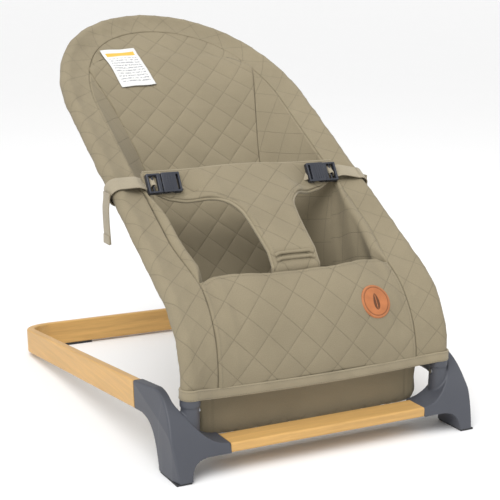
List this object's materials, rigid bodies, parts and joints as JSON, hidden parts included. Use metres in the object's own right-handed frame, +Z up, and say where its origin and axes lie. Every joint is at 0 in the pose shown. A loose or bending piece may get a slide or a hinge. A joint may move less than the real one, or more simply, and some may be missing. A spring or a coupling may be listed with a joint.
{
  "type": "bouncer seat",
  "caption": "Baby bouncer: a quilted fabric hammock on a springy tube frame, with a three-point harness, plugged into a flat tube base.",
  "frame": {"origin": "on the floor, under the middle of the whole object", "axes": "+X across the seat, +Y from the front bar to the rear bar, +Z up"},
  "size_m": [0.42, 0.6005, 0.5086],
  "materials": {
    "wood_look": "wood-look film on flat steel tube",
    "grey_plastic": "fine moulded texture",
    "rubber": "matte",
    "steel": "bare",
    "cover_fabric": "quilted cotton twill",
    "binding": "twill tape",
    "webbing": "woven webbing",
    "buckle_plastic": "moulded",
    "badge_leather": "tan, stitched edge",
    "label_cloth": "printed with plain bars"
  },
  "bodies": {
    "base": {"rear_base_tube": "wood_look", "front_crossbar": "wood_look", "left_foot_housing": "grey_plastic", "right_foot_housing": "grey_plastic", "left_foot_pad": "rubber", "right_foot_pad": "rubber", "rear_floor_pads": "rubber", "crossbar_screws": "steel", "arm_screws": "steel", "left_spring_leg": "steel", "right_spring_leg": "steel", "left_button_spring": "steel", "right_button_spring": "steel"},
    "seat": {"left_side_tube": "steel", "right_side_tube": "steel", "crown_tube": "steel", "frame_joiners": "steel", "joiner_rivets": "steel", "left_leg_sleeve": "cover_fabric", "right_leg_sleeve": "cover_fabric", "left_edge_sleeve": "cover_fabric", "right_edge_sleeve": "cover_fabric", "crown_sleeve": "cover_fabric", "back_panel": "cover_fabric", "left_gusset": "cover_fabric", "right_gusset": "cover_fabric", "seat_pouch": "cover_fabric", "front_apron": "cover_fabric", "harness_panel": "cover_fabric", "crotch_band": "cover_fabric", "hem_binding": "binding", "left_strap": "webbing", "right_strap": "webbing", "left_strap_tail": "webbing", "right_strap_tail": "webbing", "left_wing_tab": "webbing", "right_wing_tab": "webbing", "left_buckle_male": "buckle_plastic", "right_buckle_male": "buckle_plastic", "left_buckle_female": "buckle_plastic", "right_buckle_female": "buckle_plastic", "leather_badge": "badge_leather", "care_label": "label_cloth"},
    "left_lower_prong": {"left_lower_prong": "buckle_plastic"},
    "left_snap_button": {"left_snap_button": "steel"},
    "left_upper_prong": {"left_upper_prong": "buckle_plastic"},
    "right_lower_prong": {"right_lower_prong": "buckle_plastic"},
    "right_snap_button": {"right_snap_button": "steel"},
    "right_upper_prong": {"right_upper_prong": "buckle_plastic"}
  },
  "joints": [
    {"name": "seat_bounce", "type": "hinge", "parent": "base", "child": "seat", "pos_m": [0, -0.24689, 0.15382], "axis": [1, 0, 0], "range_deg": [-3, 2.5], "stiffness_Nm_per_rad": 230, "springref_deg": 1.06, "deforming": ["left_spring_leg", "right_spring_leg", "left_leg_sleeve", "right_leg_sleeve"]},
    {"name": "left_button_press", "type": "slide", "parent": "base", "child": "left_snap_button", "axis": [-1, 0, 0], "range_m": [0, 0.0036], "stiffness_N_per_m": 2500, "springref_m": -0.001, "deforming": ["left_button_spring"]},
    {"name": "right_button_press", "type": "slide", "parent": "base", "child": "right_snap_button", "axis": [1, 0, 0], "range_m": [0, 0.0036], "stiffness_N_per_m": 2500, "springref_m": -0.001, "deforming": ["right_button_spring"]},
    {"name": "left_upper_prong_squeeze", "type": "hinge", "parent": "seat", "child": "left_upper_prong", "pos_m": [-0.121, -0.05242, 0.31333], "axis": [0, 0.8599, -0.5105], "range_deg": [0, 12], "stiffness_Nm_per_rad": 1.2, "springref_deg": -1.15},
    {"name": "left_lower_prong_squeeze", "type": "hinge", "parent": "seat", "child": "left_lower_prong", "pos_m": [-0.121, -0.06192, 0.29734], "axis": [0, -0.8599, 0.5105], "range_deg": [0, 12], "stiffness_Nm_per_rad": 1.2, "springref_deg": -1.15},
    {"name": "right_upper_prong_squeeze", "type": "hinge", "parent": "seat", "child": "right_upper_prong", "pos_m": [0.121, -0.05242, 0.31333], "axis": [0, -0.8599, 0.5105], "range_deg": [0, 12], "stiffness_Nm_per_rad": 1.2, "springref_deg": -1.15},
    {"name": "right_lower_prong_squeeze", "type": "hinge", "parent": "seat", "child": "right_lower_prong", "pos_m": [0.121, -0.06192, 0.29734], "axis": [0, 0.8599, -0.5105], "range_deg": [0, 12], "stiffness_Nm_per_rad": 1.2, "springref_deg": -1.15}
  ]
}
